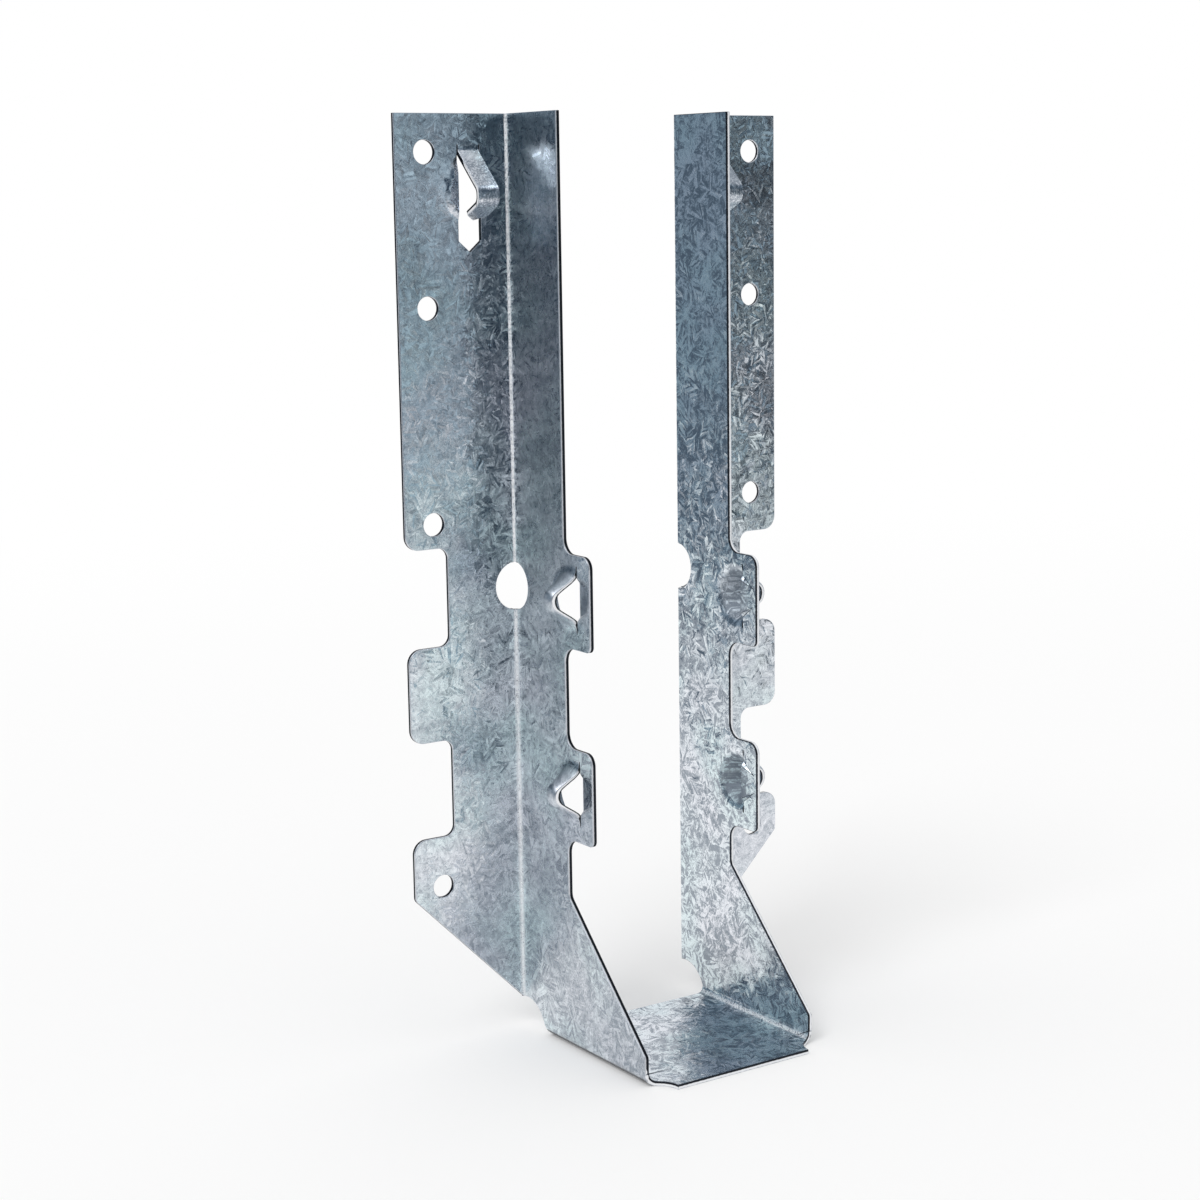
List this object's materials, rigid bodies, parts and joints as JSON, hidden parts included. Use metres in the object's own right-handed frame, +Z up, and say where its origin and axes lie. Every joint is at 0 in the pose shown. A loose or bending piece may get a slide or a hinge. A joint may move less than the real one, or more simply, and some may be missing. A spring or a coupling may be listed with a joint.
{
  "type": "joist hanger",
  "caption": "Face-mount joist hanger folded from galvanised sheet: a U-shaped joist pocket with nailing flanges, sprung prongs and domed angled-nail guides.",
  "frame": {"origin": "middle of the base of the part's own box: midway between the two side plates, midway between the header face and the seat's front edge, at the underside of the seat", "axes": "+X across the joist, from the leg whose tabs sit higher to the leg whose tabs sit lower; +Y from the joist side to the header side, square to the flanges; +Z up the legs"},
  "size_m": [0.092, 0.0494, 0.1875],
  "materials": {
    "galvanised_sheet": "hot-dip galvanised, spangled, satin"
  },
  "bodies": {
    "root": {"joist_hanger": "galvanised_sheet"}
  },
  "joints": []
}
